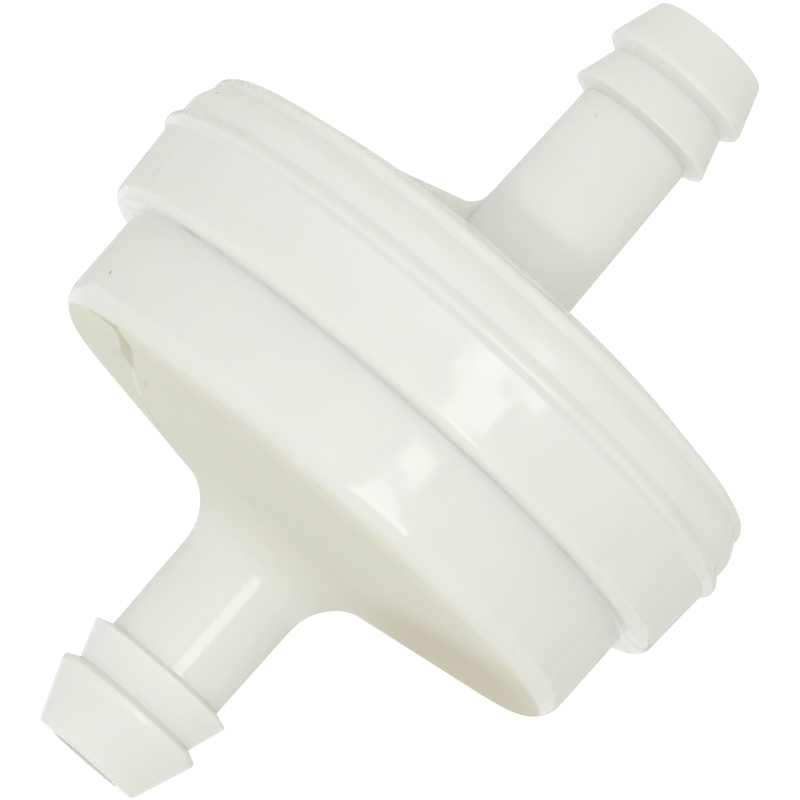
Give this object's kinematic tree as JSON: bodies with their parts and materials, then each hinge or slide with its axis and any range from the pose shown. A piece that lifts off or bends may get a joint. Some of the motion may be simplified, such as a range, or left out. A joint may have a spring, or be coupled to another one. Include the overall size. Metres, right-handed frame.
{
  "type": "inline fuel filter",
  "caption": "Round inline fuel filter: welded nylon bowl and cap with a barbed hose tube on each end of the axis and a woven screen clamped inside.",
  "frame": {"origin": "on the axis, at the middle of the overall length", "axes": "+Z along the axis from the outlet tube to the inlet tube, +X towards the gusset on the cap"},
  "size_m": [0.0354, 0.0354, 0.0468],
  "materials": {
    "natural_nylon": "satin natural nylon, slightly translucent",
    "frame_nylon": "moulded white nylon",
    "woven_screen": "woven nylon monofilament"
  },
  "bodies": {
    "root": {"inlet_bowl": "natural_nylon", "outlet_cap": "natural_nylon", "screen_frame": "frame_nylon", "filter_screen": "woven_screen"}
  },
  "joints": []
}
